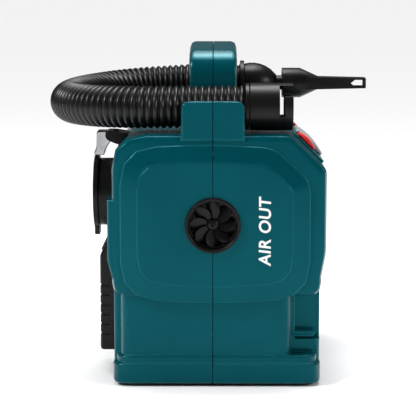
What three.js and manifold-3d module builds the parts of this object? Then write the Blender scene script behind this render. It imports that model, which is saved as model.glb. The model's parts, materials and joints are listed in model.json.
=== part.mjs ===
import * as THREE from 'three';
import { mergeVertices } from 'three/addons/utils/BufferGeometryUtils.js';
import Module from 'manifold-3d';

const wasm = await Module();
wasm.setup();

// A portable box-shaped wet and dry vacuum. Millimetres. While it is being built, X = 0 is the seam
// between the two housing halves, Z = 0 is the floor, and -Y is the side with the blower port.

// Driving dimensions
const gap = 0.3; // air between pieces that touch
const slide = 0.6; // air round a piece that slides or turns
const wall = 3; // moulded wall of the housing
const thin = 2; // wall of the smaller mouldings

// The four overall sizes
const faceY = -147; // blower face of the head
const doorY = 150; // face of the bin's door opening
const roofZ = 276; // flat top of the head
const width = { left: -109.5, right: 118 }; // side walls

const housing = {
  front: faceY,
  back: doorY,
  low: 3,
  roof: roofZ,
  edge: 7,
  waistLeft: width.left,
  waistRight: width.right,
  beltLeft: width.left - 4.9,
  beltRight: width.right + 5,
  beltLow: 139,
  beltTop: 205,
  headLow: 100,
  shoulder: 38,
  slopeTop: width.right - 34,
  slopeLow: roofZ - 38,
  roofBreak: doorY - 55,
  roofBackDrop: 28,
};
const lower = {
  left: width.left + 8.5,
  right: width.right - 32,
  front: faceY + 6,
  corner: 12,
  top: 208,
  flankFront: faceY + 23,
  flankTop: 120,
};
const plinth = { front: faceY - 2, top: 26, corner: 18, skirtTop: 34, step: 4 };
const panel = {
  step: 2.2,
  slopeRise: 3.8,
  slopeWide: 17,
  outerLeft: width.left + 9.5,
  outerRight: width.right - 13,
  outerTop: roofZ - 11,
  outerLow: 96,
};
const innerStep = 0.8; // inner panel above the slope round it
const panelRise = panel.step + panel.slopeRise + innerStep;
const handle = {
  front: faceY + 65,
  back: doorY - 58,
  half: 26.5,
  grip: 28,
  fingerTop: roofZ + 65,
  top: roofZ + 94,
  edge: 6,
};
const tab = { half: 34, low: roofZ - 6, top: roofZ + 36, thick: 12, corner: 9 };
const saddle = { half: 30, front: doorY - 53, tabThick: 6, tabTop: roofZ + 50 };

const axisZ = 179; // height of the motor, fan and blower port
const portBore = 26.5;
const port = {
  bore: portBore,
  barrel: portBore + 2,
  flange: portBore + 3.8,
  lip: 3,
  length: 16,
  vaneDepth: 9,
  hub: 8,
  vanes: 8,
};
const duct = { radius: 52, shoulder: faceY + 35, back: 4 };
const motor = { radius: 34, front: faceY + 47, back: -22, can: 2.5, shaft: 4, bearing: 9, bearingLong: 7 };
const fan = { radius: 44, front: 5, plate: 2, blade: 10, blades: 9, hub: 9, eye: 18, back: 24 };
const vents = { count: 6, first: -60, pitch: 15, wide: 6, low: 50, high: 98 };
const bulkhead = { front: 27, thick: 3 };

const bin = { half: 94, low: 28, high: 228, wall: 2.5, lip: 3.5, plate: 4, rim: 5, front: 33 };
const filter = { radius: 38, pleat: 5, pleats: 22, end: 116, cap: 5.7, hole: 44, core: 22 };
const inletRadius = 38;
const inlet = {
  y: -60,
  z: 204,
  radius: inletRadius,
  bore: 26.5,
  face: width.left - 17.8,
  pipe: 17,
  pipeX: -72,
  flange: inletRadius + 2.5,
};
const cap = { radius: inletRadius + 3.5, thick: 5.3, tabDrop: inletRadius + 10.3, tabHalf: 15 };
const clasp = { pivotX: width.left - 6, pivotZ: roofZ - 7, half: 12, ear: 3.5, boss: 4.6, pin: 1.6 };

const batteryHigh = 154.5;
const battery = {
  front: -88,
  back: -12,
  low: 27.4,
  high: batteryHigh,
  face: width.left - 17,
  inner: -70,
  chamferZ: batteryHigh - 19.5,
  chamferX: 9.4,
};
const grooves = { first: 45, pitch: 11, count: 6, deep: 1.5, wide: 3 };
const bladeTabs = { count: 3, pitch: 12, long: 12, high: 12, thick: 1.2, z: 94 };

const pod = { half: 22.5, rise: 3, front: faceY + 35, back: doorY - 88 };
const slider = { front: faceY + 50, wide: 22, long: 24, high: 5, travel: 7, at: -5 };
const greyPanel = { front: faceY + 79, back: doorY - 150, half: 19, high: 5, at: 1 };
const button = { y: doorY - 100, at: -14.6, radius: 4, high: 2.6, travel: 1.6 };

const hoseRadius = 23.5;
const nearRun = { y: faceY + 37, z: roofZ + 27.5 };
const farRun = { y: doorY - 32, z: roofZ + 39 };
const cuff = {
  start: 35.2,
  ring: 4.4,
  end: 86.9,
  radius: hoseRadius + 2.4,
  wall: 2.5,
  slotX: 72.3,
  slotWide: 5.5,
  slotLow: 10.4,
  entryLow: 13.2,
};
const farEnd = {
  start: 32.2,
  collar: 5,
  collarRadius: hoseRadius + 3.5,
  arc: 36.7,
  arcX: 47,
  arcEnd: 76,
  drop: 12.2,
  spigot: 9,
  tip: 92,
};
const nozzle = {
  start: 83.4,
  socket: 18.15,
  neck: 105.3,
  cone: 128.9,
  end: 185.3,
  bore: 15.5,
  wide: 13,
  half: 7.4,
};

const bosses = [
  [faceY + 19, 54],
  [faceY + 17, roofZ - 22],
  [12, 38],
  [doorY - 20, roofZ - 40],
  [78, roofZ - 36],
]; // Y and Z of each housing screw
const boss = { radius: 5, hole: 2.3, screw: 2, head: 3.8, headDeep: 3, counter: 4.4, seat: 20, reach: -16 };
const foot = { radius: 11, stem: 4, stemLong: 6, x: 78, front: faceY + 25, back: doorY - 28 };

// Finishes
const finish = (color, roughness, metalness = 0) =>
  new THREE.MeshStandardMaterial({ color, roughness, metalness });
const teal = finish(0x0b5560, 0.42);
const black = finish(0x17181a, 0.5);
const rubber = finish(0x101112, 0.85);
const steel = finish(0xc9ccd0, 0.22, 1);
const red = finish(0xe02424, 0.4);
const grey = finish(0x8c8f91, 0.6);
const smoke = finish(0x3a4144, 0.2);
const paper = finish(0xe4e2da, 0.9);
const copper = finish(0xb8743a, 0.4, 1);
const green = finish(0x1f5a33, 0.6);

const part = new THREE.Group();
part.name = 'shop_vacuum';
const machine = new THREE.Group(); // everything but the hose
const hoseSet = new THREE.Group(); // the hose and what it carries

// A closed geometry as a solid that can be joined and cut. Pieces of no area at an axis are dropped.
function solid(geometry) {
  const loose = geometry.index ? geometry.toNonIndexed() : geometry;
  const bare = new THREE.BufferGeometry().setAttribute('position', loose.getAttribute('position'));
  const merged = mergeVertices(bare, 1e-4);
  const corners = merged.index.array;
  const kept = [];
  for (let i = 0; i < corners.length; i += 3) {
    const [a, b, c] = corners.subarray(i, i + 3);
    if (a !== b && b !== c && c !== a) kept.push(a, b, c);
  }
  const build = (list) =>
    new wasm.Manifold(
      new wasm.Mesh({
        numProp: 3,
        vertProperties: merged.attributes.position.array,
        triVerts: new Uint32Array(list),
      }),
    );
  const made = build(kept);
  return made.volume() > 0 ? made : build(kept.reverse());
}

function add(name, body, material, holder = machine) {
  const { vertProperties, triVerts } = body.getMesh();
  const geometry = new THREE.BufferGeometry();
  geometry.setAttribute('position', new THREE.BufferAttribute(vertProperties, 3));
  geometry.setIndex(new THREE.BufferAttribute(triVerts, 1));
  geometry.computeVertexNormals();
  const mesh = new THREE.Mesh(geometry, material);
  mesh.name = name;
  holder.add(mesh);
}

const joined = (first, ...rest) => rest.reduce((all, next) => all.add(next), first);
const cut = (first, ...rest) => rest.reduce((left, next) => left.subtract(next), first);

// A closed outline through [u, v, r] points, with each corner rounded over the length r.
function outline(points) {
  const shape = new THREE.Shape();
  const count = points.length;
  points.forEach(([u, v, r = 0], i) => {
    const here = new THREE.Vector2(u, v);
    const back = new THREE.Vector2(...points[(i + count - 1) % count]).sub(here).setLength(r);
    const on = new THREE.Vector2(...points[(i + 1) % count]).sub(here).setLength(r);
    const start = back.add(here);
    const end = on.add(here);
    if (i === 0) shape.moveTo(start.x, start.y);
    else shape.lineTo(start.x, start.y);
    if (r > 0) shape.quadraticCurveTo(u, v, end.x, end.y);
  });
  return shape;
}

const rectangle = (u0, v0, u1, v1, r = 0) =>
  outline([
    [u0, v0, r],
    [u1, v0, r],
    [u1, v1, r],
    [u0, v1, r],
  ]);

// Where an outline's two directions and its depth point, for a piece drawn across each axis.
const across = {
  x: new THREE.Matrix4().set(0, 0, 1, 0, 1, 0, 0, 0, 0, 1, 0, 0, 0, 0, 0, 1), // outline in Y, Z
  y: new THREE.Matrix4().set(1, 0, 0, 0, 0, 0, -1, 0, 0, 1, 0, 0, 0, 0, 0, 1), // outline in X, Z
  z: new THREE.Matrix4(), // outline in X, Y
};

// An outline drawn out along an axis, with its end edges rounded, all of it drawn in by inset.
function drawn(shape, axis, from, to, { edge = 0, deep = edge, inset = 0, steps = 2, curve = 3 } = {}) {
  const geometry = new THREE.ExtrudeGeometry(shape, {
    depth: to - from - 2 * (deep + inset),
    bevelEnabled: edge > 0,
    bevelThickness: deep,
    bevelSize: edge,
    bevelOffset: -edge - inset,
    bevelSegments: steps,
    curveSegments: curve,
  });
  geometry.translate(0, 0, deep + inset).applyMatrix4(across[axis]);
  const shift = new THREE.Vector3();
  shift[axis] = axis === 'y' ? to : from;
  return geometry.translate(shift.x, shift.y, shift.z);
}

const block = (x0, x1, y0, y1, z0, z1) =>
  new THREE.BoxGeometry(x1 - x0, y1 - y0, z1 - z0).translate((x0 + x1) / 2, (y0 + y1) / 2, (z0 + z1) / 2);
const brick = (...sides) => solid(block(...sides));

// A profile of [radius, place along the axis] points turned about an axis through (a, b).
function turned(axis, a, b, profile, sides = 24) {
  const points = profile.map(([r, along]) => new THREE.Vector2(r, along));
  if (profile[0][0] > 0 || profile.at(-1)[0] > 0) points.push(points[0].clone());
  const geometry = new THREE.LatheGeometry(points, sides);
  if (axis === 'x') geometry.rotateZ(-Math.PI / 2).translate(0, a, b);
  if (axis === 'y') geometry.translate(a, 0, b);
  if (axis === 'z') geometry.rotateX(Math.PI / 2).translate(a, b, 0);
  return solid(geometry);
}

const rod = (axis, a, b, radius, from, to, sides = 24) =>
  turned(axis, a, b, [[0, from], [radius, from], [radius, to], [0, to]], sides);
const ring = (axis, a, b, inner, outer, from, to, sides = 24) =>
  turned(axis, a, b, [[inner, from], [outer, from], [outer, to], [inner, to]], sides);

// A round bar along a path.
function bar(path, radius, steps, sides) {
  const circle = new THREE.Shape();
  for (let i = 0; i < sides; i += 1) {
    const angle = (2 * Math.PI * i) / sides;
    circle[i ? 'lineTo' : 'moveTo'](radius * Math.cos(angle), radius * Math.sin(angle));
  }
  return solid(new THREE.ExtrudeGeometry(circle, { extrudePath: path, steps, curveSegments: 1 }));
}

const curve = (points) => new THREE.CatmullRomCurve3(points.map((p) => new THREE.Vector3(...p)));

// The sloping corner that carries the controls: along runs down it, out stands square to it.
const slopeAngle = Math.atan2(housing.roof - housing.slopeLow, housing.beltRight - housing.slopeTop);
const slopeDown = new THREE.Vector3(Math.cos(slopeAngle), 0, -Math.sin(slopeAngle));
const slopeOut = new THREE.Vector3(Math.sin(slopeAngle), 0, Math.cos(slopeAngle));
const slopeMiddle = new THREE.Vector3(
  (housing.slopeTop + housing.beltRight) / 2,
  0,
  (housing.roof + housing.slopeLow) / 2,
);
const onSlope = (geometry) =>
  solid(geometry.rotateY(slopeAngle).translate(slopeMiddle.x, slopeMiddle.y, slopeMiddle.z));

// Housing -------------------------------------------------------------------------------------------

function headOutline() {
  const h = housing;
  return outline([
    [h.waistLeft, h.headLow, 14],
    [h.waistRight, h.headLow, 14],
    [h.waistRight, h.beltLow - 18, 3],
    [h.beltRight, h.beltLow + 8, 6],
    [h.beltRight, h.slopeLow, 5],
    [h.slopeTop, h.roof, 6],
    [h.waistLeft, h.roof, h.shoulder],
  ]);
}

// The left side stands out in a belt that tapers in below.
function leftBelt(inset) {
  const h = housing;
  const belt = outline([
    [h.waistLeft, h.beltLow - 20],
    [h.waistLeft + 20, h.beltLow - 20],
    [h.waistLeft + 20, h.beltTop],
    [h.beltLeft, h.beltTop],
    [h.beltLeft, h.beltLow],
  ]);
  return solid(drawn(belt, 'y', h.front + 2, h.back - 2, { edge: 2, inset, steps: 1 }));
}

// The back of the roof falls away behind the handle.
function roofFall(inset) {
  const low = housing.roof - inset;
  const fall = outline([
    [housing.roofBreak, low],
    [housing.back + 1, low - housing.roofBackDrop],
    [housing.back + 1, housing.roof + 20],
    [housing.roofBreak, housing.roof + 20],
  ]);
  return solid(drawn(fall, 'x', housing.beltLeft - 1, housing.beltRight + 1));
}

function handleArch(inset) {
  const h = handle;
  const low = housing.roof - 20;
  const corner = h.top - 12;
  const middle = (h.front + h.back) / 2;
  const arch = outline([
    [h.front, low],
    [h.front + h.grip, low],
    [h.front + h.grip, h.fingerTop, 18],
    [h.back - h.grip, h.fingerTop, 18],
    [h.back - h.grip, low],
    [h.back, low],
    [h.back, corner, 24],
    [middle, h.top + 6, 60],
    [h.front, corner, 24],
  ]);
  return solid(drawn(arch, 'x', -h.half, h.half, { edge: h.edge, inset }));
}

// The raised bed of the control corner.
function controlBed(inset) {
  const bed = rectangle(-pod.half, -14, pod.half, pod.rise);
  return onSlope(drawn(bed, 'y', pod.front, pod.back, { edge: 2, inset }));
}

// Everything the housing encloses, drawn in by inset: 0 is its outside and the wall is its inside.
function hull(inset) {
  const h = housing;
  const head = solid(drawn(headOutline(), 'y', h.front, h.back, { edge: h.edge, inset }));
  const chest = rectangle(lower.left, lower.front, lower.right, h.back - 3, lower.corner);
  const flanks = rectangle(h.waistLeft, lower.flankFront, h.waistRight, h.back - 3, 8);
  const base = rectangle(h.waistLeft, plinth.front, h.waistRight, h.back, plinth.corner);
  const step = plinth.step;
  const [left, right] = [h.waistLeft + step, h.waistRight - step];
  const skirt = rectangle(left, plinth.front + step, right, h.back, plinth.corner);
  const walls = { edge: 2, inset, steps: 1, curve: 3 };
  return joined(
    cut(head, roofFall(inset)),
    leftBelt(inset),
    solid(drawn(chest, 'z', h.low, lower.top, walls)),
    solid(drawn(flanks, 'z', h.low, lower.flankTop, walls)),
    solid(drawn(base, 'z', h.low, plinth.top, walls)),
    solid(drawn(skirt, 'z', h.low, plinth.skirtTop, walls)),
    handleArch(inset),
    controlBed(inset),
  );
}

// A raised panel of the blower face, drawn in from the outer outline and with the front edge sloped.
function facePanel(inward, rise, corner, edge, deep) {
  const p = panel;
  const [left, right] = [p.outerLeft + inward, p.outerRight - inward];
  const [low, top] = [p.outerLow + inward, p.outerTop - inward];
  const middle = (left + right) / 2;
  const shape = outline([
    [left, low + 2, corner],
    [middle, low - 4, 40],
    [right, low + 2, corner],
    [right, top - corner, 12],
    [right - corner, top - 3, 12],
    [middle, top + 1, 40],
    [left, top - 3, corner],
  ]);
  return solid(drawn(shape, 'y', housing.front - rise, housing.front + 12, { edge, deep, steps: 1 }));
}

// Upstands and ribs that keep the stored hose in place.
function hoseTabs() {
  const front = plinth.front;
  const rounded = outline([
    [-tab.half, tab.low],
    [tab.half, tab.low],
    [tab.half, tab.top, tab.corner],
    [-tab.half, tab.top, tab.corner],
  ]);
  const seat = farRun.z - hoseRadius - 2 * gap;
  const back = housing.back;
  const rest = outline([
    [saddle.front, housing.roof - 20],
    [back - 0.5, housing.roof - 35],
    [back - 0.5, saddle.tabTop, 2],
    [back - saddle.tabThick, saddle.tabTop, 2],
    [back - saddle.tabThick, seat],
    [saddle.front, seat, 2],
  ]);
  const ribTop = nearRun.z - hoseRadius - gap;
  return joined(
    solid(drawn(rounded, 'y', front, front + tab.thick, { edge: 2 })),
    solid(drawn(rest, 'x', -saddle.half, saddle.half)),
    brick(-24, 24, nearRun.y - 7, nearRun.y + 7, housing.roof - 2, ribTop),
  );
}

function bossRods(radius, from, to) {
  return joined(...bosses.map(([y, z]) => rod('x', y, z, radius, from, to, 12)));
}

function housingHalves() {
  const h = housing;
  const outside = joined(
    hull(0),
    facePanel(0, panel.step + panel.slopeRise, 40, panel.slopeWide, panel.slopeRise),
    facePanel(panel.slopeWide + 1, panelRise, 28, 0.8, 0.8),
    hoseTabs(),
  );
  const [from, deep] = [lower.right + 4, lower.flankFront + 14];
  const recess = brick(from, h.waistRight + 1, lower.flankFront - 1, deep, 48, 102);
  const recessBack = brick(
    from - wall,
    h.waistRight + 1,
    lower.flankFront - 1,
    deep + wall,
    48 - wall,
    102 + wall,
  );
  const inside = cut(hull(wall), recessBack);
  const shellWall = cut(outside, inside, recess);
  const columns = bossRods(boss.radius, h.beltLeft, h.beltRight).intersect(hull(0.1));
  const bay = battery;
  const bayWindow = brick(
    h.beltLeft - 1,
    h.waistLeft + 8,
    bay.front - slide - thin - gap,
    bay.back + slide + thin + gap,
    bay.low - slide - thin - gap,
    bay.high + slide + thin + gap,
  );
  const binWindow = brick(
    -bin.half - slide,
    bin.half + slide,
    h.back - 10,
    h.back + 1,
    bin.low - slide,
    bin.high + slide,
  );
  const rightSlot = (y) =>
    brick(h.waistRight - 8, h.waistRight + 1, y, y + vents.wide, vents.low, vents.high);
  const ventSlots = Array.from({ length: vents.count }, (_, i) =>
    rightSlot(vents.first + vents.pitch * i),
  );
  const slotLow = slider.at - slider.long / 4 - slide;
  const slotHigh = slider.at + slider.long / 4 + slider.travel + slide;
  const slotMiddle = slider.front + slider.wide / 2;
  const sliderSlot = onSlope(block(slotLow, slotHigh, slotMiddle - 4, slotMiddle + 4, 0, pod.rise + 1));
  const buttonHole = onSlope(
    new THREE.CylinderGeometry(button.radius + slide, button.radius + slide, 12, 16)
      .rotateX(Math.PI / 2)
      .translate(button.at, button.y, pod.rise - 3),
  );
  const feet = footPlaces().map(([x, y]) => rod('z', x, y, foot.stem + gap, 0, 12, 12));
  const shell = cut(
    joined(shellWall, columns),
    rod('y', 0, axisZ, port.barrel + gap, h.front - 10, h.front + 20, 32),
    rod('x', inlet.y, inlet.z, inlet.radius + gap, h.beltLeft - 1, h.waistLeft + 6, 32),
    bossRods(boss.hole, boss.reach - 1, boss.seat + 1),
    bossRods(boss.counter, boss.seat, h.beltRight + 8),
    bayWindow,
    binWindow,
    sliderSlot,
    buttonHole,
    ...ventSlots,
    ...feet,
  );
  const far = 400;
  const leftHalf = cut(shell, brick(-gap / 2, far, -far, far, -far, far * 2));
  const rightHalf = cut(shell, brick(-far, gap / 2, -far, far, -far, far * 2));
  add('shell_left', leftHalf, teal);
  add('shell_right', rightHalf, teal);
}

const footPlaces = () => [
  [-foot.x, foot.front],
  [foot.x, foot.front],
  [-foot.x, foot.back],
  [foot.x, foot.back],
];

function feetAndScrews() {
  footPlaces().forEach(([x, y], i) => {
    const pad = rod('z', x, y, foot.radius, 0, housing.low - gap, 20);
    const stem = rod('z', x, y, foot.stem, 1, housing.low + foot.stemLong, 12);
    add(`foot_${i + 1}`, joined(pad, stem), rubber);
  });
  bosses.forEach(([y, z], i) => {
    const head = rod('x', y, z, boss.head, boss.seat + gap, boss.seat + gap + boss.headDeep, 16);
    const socket = rod('x', y, z, 1.5, boss.seat + 1.5, boss.seat + 9, 6);
    const shank = rod('x', y, z, boss.screw, boss.reach, boss.seat + 1, 10);
    add(`housing_screw_${i + 1}`, cut(joined(head, shank), socket), steel);
  });
}

// Blower port, motor and fan, all on one axis ---------------------------------------------------------

function blowerPort() {
  const face = housing.front - panelRise;
  const back = face + port.length;
  const frontLip = face - gap - port.lip;
  const profile = [
    [port.bore, frontLip + 1],
    [port.bore + 1, frontLip],
    [port.flange - 1, frontLip],
    [port.flange, frontLip + 1],
    [port.flange, face - gap],
    [port.barrel, face - gap],
    [port.barrel, back],
    [port.bore, back],
  ];
  add('port_ring', turned('y', 0, axisZ, profile, 30), black);

  const outer = port.bore - gap;
  const vaneFront = back - port.vaneDepth - 1;
  const rim = ring('y', 0, axisZ, outer - 1.6, outer, vaneFront, back - 1, 30);
  const dome = [
    [0, vaneFront - 2],
    [port.hub * 0.6, vaneFront - 1],
    [port.hub, vaneFront + 2],
    [port.hub, back - 1],
    [0, back - 1],
  ];
  const vanes = Array.from({ length: port.vanes }, (_, i) => {
    const vane = block(port.hub - 2, outer - 1, -0.8, 0.8, -port.vaneDepth / 2, port.vaneDepth / 2);
    vane.rotateX(0.6).rotateX(Math.PI / 2).rotateY((2 * Math.PI * i) / port.vanes);
    return solid(vane.translate(0, (vaneFront + back - 1) / 2, axisZ));
  });
  const screwHole = rod('y', 0, axisZ, 2, vaneFront - 5, vaneFront + 6, 10);
  const span = rod('y', 0, axisZ, outer, vaneFront - 3, back - 1, 30);
  const wheel = joined(turned('y', 0, axisZ, dome), rim, ...vanes).intersect(span);
  add('guide_vanes', cut(wheel, screwHole), black);
  add('hub_screw', rod('y', 0, axisZ, 1.7, vaneFront - 0.4, vaneFront + 5.7, 10), steel);

  const [r, s] = [duct.radius, duct.shoulder];
  const mouth = back + gap;
  const tube = [
    [port.barrel, mouth],
    [port.barrel, mouth + 6],
    [r, s],
    [r, duct.back],
    [r - thin, duct.back],
    [r - thin, s + 1],
    [port.barrel - thin, mouth + 7],
    [port.barrel - thin, mouth],
  ];
  add('air_duct', turned('y', 0, axisZ, tube, 26), black);
}

function motorUnit() {
  const m = motor;
  const bore = m.shaft + slide;
  const seat = m.bearing + gap;
  const can = [
    [bore, m.front],
    [seat + 3, m.front],
    [seat + 3, m.front + m.bearingLong + 1],
    [m.radius, m.front + m.bearingLong + 3],
    [m.radius, m.back - 12],
    [m.radius - m.can, m.back - 12],
    [m.radius - m.can, m.front + m.bearingLong + 6],
    [seat, m.front + m.bearingLong + 6],
    [seat, m.front + 2],
    [bore, m.front + 2],
  ];
  add('motor_can', turned('y', 0, axisZ, can, 24), steel);
  const bell = [
    [m.radius, m.back - 12 + gap],
    [m.radius, m.back - m.bearingLong],
    [seat + 3, m.back - 2],
    [seat + 3, m.back],
    [bore, m.back],
    [bore, m.back - 2],
    [seat, m.back - 2],
    [seat, m.back - 12 + gap],
  ];
  add('motor_end_bell', turned('y', 0, axisZ, bell, 24), black);
  const coreFront = m.front + 22;
  const coreBack = m.back - 20;
  add('stator', ring('y', 0, axisZ, 19, m.radius - m.can - gap, coreFront, coreBack, 24), copper);
  add('rotor_core', ring('y', 0, axisZ, m.shaft + gap, 18, coreFront, coreBack, 20), steel);
  const bearing = (name, from) =>
    add(name, ring('y', 0, axisZ, m.shaft + gap, m.bearing, from, from + m.bearingLong - gap, 20), steel);
  bearing('bearing_front', m.front + 2 + gap);
  bearing('bearing_rear', m.back - 2 - m.bearingLong);
  const shaftEnd = fan.front + fan.plate + fan.blade + 1;
  add('motor_shaft', rod('y', 0, axisZ, m.shaft, m.front - 6, shaftEnd, 16), steel);

  const mount = (name, from) => {
    const collar = ring('y', 0, axisZ, m.radius + gap, m.radius + 4, from, from + 8, 28);
    const arms = [0, 1, 2].map((i) => {
      const arm = block(m.radius + 2, duct.radius - thin - gap, from, from + 8, -4, 4);
      return solid(arm.rotateY(Math.PI / 2 + (2 * Math.PI * i) / 3).translate(0, 0, axisZ));
    });
    const room = rod('y', 0, axisZ, duct.radius - thin - gap, from, from + 8, 32);
    add(name, joined(collar, ...arms).intersect(room), rubber);
  };
  mount('motor_mount_front', m.front + 18);
  mount('motor_mount_rear', m.back - 24);
}

function fanUnit() {
  const f = fan;
  const r = duct.radius;
  const scroll = [
    [f.eye, f.back - 3],
    [r - thin, f.back - 3],
    [r - thin, duct.back + gap],
    [r, duct.back + gap],
    [r, f.back],
    [f.eye, f.back],
  ];
  add('fan_housing', turned('y', 0, axisZ, scroll, 26), black);
  const plateBack = f.front + f.plate;
  const hub = ring('y', 0, axisZ, motor.shaft + gap, f.hub, f.front, plateBack + f.blade, 20);
  const plate = ring('y', 0, axisZ, f.hub - 1, f.radius, f.front, plateBack, 30);
  const blades = Array.from({ length: f.blades }, (_, i) => {
    const blade = block(f.hub - 1, f.radius - 1, plateBack - 0.5, plateBack + f.blade, -0.7, 0.7);
    blade.translate(0, 0, -5).rotateY((2 * Math.PI * i) / f.blades);
    return solid(blade.translate(0, 0, axisZ));
  });
  const bore = rod('y', 0, axisZ, motor.shaft + gap, f.front - 1, f.back, 16);
  add('impeller', cut(joined(hub, plate, ...blades), bore), black);
}

// Filter, dust bin and bulkhead -------------------------------------------------------------------------

function bulkheadPlate() {
  const b = bulkhead;
  const blank = brick(width.left, width.right, b.front, b.front + b.thick, housing.low, roofZ - 28);
  const plate = blank.intersect(hull(wall + gap));
  const holes = [
    rod('y', 0, axisZ, fan.eye + 2, b.front - 1, b.front + b.thick + 1, 28),
    rod('y', inlet.pipeX, inlet.z, inlet.pipe - thin, b.front - 1, b.front + b.thick + 1, 20),
  ];
  add('bulkhead', cut(plate, ...holes), black);
  const sealFront = b.front + b.thick + gap;
  const sealBack = bin.front - gap;
  const sealHole = filter.hole + 0.5;
  add('bin_seal', ring('y', 0, axisZ, sealHole, sealHole + 4, sealFront, sealBack, 32), rubber);
  const pipe = inlet.pipe;
  add('inlet_seal', ring('y', inlet.pipeX, inlet.z, pipe + 1, pipe + 5, sealFront, sealBack, 24), rubber);
}

function filterCartridge() {
  const f = filter;
  const from = bulkhead.front + bulkhead.thick + gap;
  const base = ring('y', 0, axisZ, f.core, f.radius + 3, from, from + 6, 24);
  add('filter_base', base, black);
  const star = (inward) => {
    const points = [];
    for (let i = 0; i < 2 * f.pleats; i += 1) {
      const angle = (Math.PI * i) / f.pleats;
      const r = f.radius - inward - (i % 2 ? f.pleat : 0);
      points.push([r * Math.cos(angle), r * Math.sin(angle)]);
    }
    return outline(points);
  };
  const pleats = star(0);
  pleats.holes.push(star(2));
  const paperFront = from + 6 + gap;
  const paperBack = f.end - f.cap - gap;
  const media = drawn(pleats, 'y', paperFront, paperBack).translate(0, 0, axisZ);
  add('filter_media', solid(media), paper);
  add('filter_cap', rod('y', 0, axisZ, f.radius + 1, f.end - f.cap, f.end, 28), black);
}

function dustBin() {
  const b = bin;
  const mouth = housing.back;
  const corner = 8;
  const tray = (grow) => rectangle(-b.half - grow, b.low - grow, b.half + grow, b.high + grow, corner);
  const hollow = rectangle(-b.half + b.wall, b.low + b.wall, b.half - b.wall, b.high - b.wall, corner - 1);
  const holes = [
    solid(drawn(hollow, 'y', b.front + b.wall, mouth + 5)),
    rod('y', 0, axisZ, filter.hole, b.front - 1, b.front + b.wall + 1, 32),
    rod('y', inlet.pipeX, inlet.z, inlet.pipe + 1, b.front - 1, b.front + b.wall + 1, 20),
  ];
  add('dust_bin', cut(solid(drawn(tray(0), 'y', b.front, mouth)), ...holes), smoke);

  const doorFront = mouth + gap;
  const doorBack = doorFront + b.plate;
  const rim = (inset) => {
    const [half, low, high] = [b.half - inset, b.low + inset, b.high - inset];
    const frame = rectangle(-half, low, half, high, corner - 1);
    return solid(drawn(frame, 'y', doorFront - b.rim, doorFront + 1));
  };
  const plate = solid(drawn(tray(b.lip), 'y', doorFront, doorBack, { edge: 1.5, steps: 1 }));
  const rimWall = cut(rim(b.wall + gap), rim(b.wall + gap + thin));
  add('bin_door', joined(plate, rimWall), teal);
  const grip = outline([
    [-34, doorBack + gap],
    [-24, doorBack + gap],
    [-22, doorBack + 13, 3],
    [22, doorBack + 13, 3],
    [24, doorBack + gap],
    [34, doorBack + gap],
    [30, doorBack + 20, 6],
    [-30, doorBack + 20, 6],
  ]);
  add('bin_handle', solid(drawn(grip, 'z', 104, 124, { edge: 1.5, steps: 1 })), black);
}

// Suction inlet, its cap and its clasp ------------------------------------------------------------------

function suctionInlet() {
  const n = inlet;
  const flangeFront = housing.waistLeft + wall + gap;
  const back = flangeFront + 2.7;
  const profile = [
    [n.bore, n.face],
    [n.radius, n.face],
    [n.radius, back],
    [n.pipe - thin, back],
    [n.pipe - thin, back - thin],
    [n.bore, back - thin],
  ];
  const plate = ring('x', n.y, n.z, n.radius - 1, n.flange, flangeFront, back, 30);
  const flange = plate.intersect(hull(wall + gap));
  add('inlet_block', joined(turned('x', n.y, n.z, profile, 30), flange), black);

  const path = new THREE.CurvePath();
  const bend = 20;
  const at = (x, y) => new THREE.Vector3(x, y, n.z);
  path.add(new THREE.LineCurve3(at(back + gap, n.y), at(n.pipeX - bend, n.y)));
  const [into, corner, out] = [at(n.pipeX - bend, n.y), at(n.pipeX, n.y), at(n.pipeX, n.y + bend)];
  path.add(new THREE.QuadraticBezierCurve3(into, corner, out));
  path.add(new THREE.LineCurve3(at(n.pipeX, n.y + bend), at(n.pipeX, bulkhead.front - gap)));
  const outer = bar(path, n.pipe, 12, 16);
  const inner = bar(path, n.pipe - thin, 12, 16);
  const mouths = joined(
    rod('x', n.y, n.z, n.pipe - thin, back - 1, back + 3, 16),
    rod('y', n.pipeX, n.z, n.pipe - thin, bulkhead.front - 3, bulkhead.front + 1, 16),
  );
  add('inlet_duct', cut(outer, inner, mouths), black);

  const plateBack = n.face - gap;
  const disc = rod('x', n.y, n.z, cap.radius, plateBack - cap.thick, plateBack, 32);
  const pull = rectangle(n.y - cap.tabHalf, n.z - cap.tabDrop, n.y + cap.tabHalf, n.z, 8);
  const tongue = solid(drawn(pull, 'x', plateBack - cap.thick, plateBack));
  add('inlet_cap', joined(disc, tongue), black);
}

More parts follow.
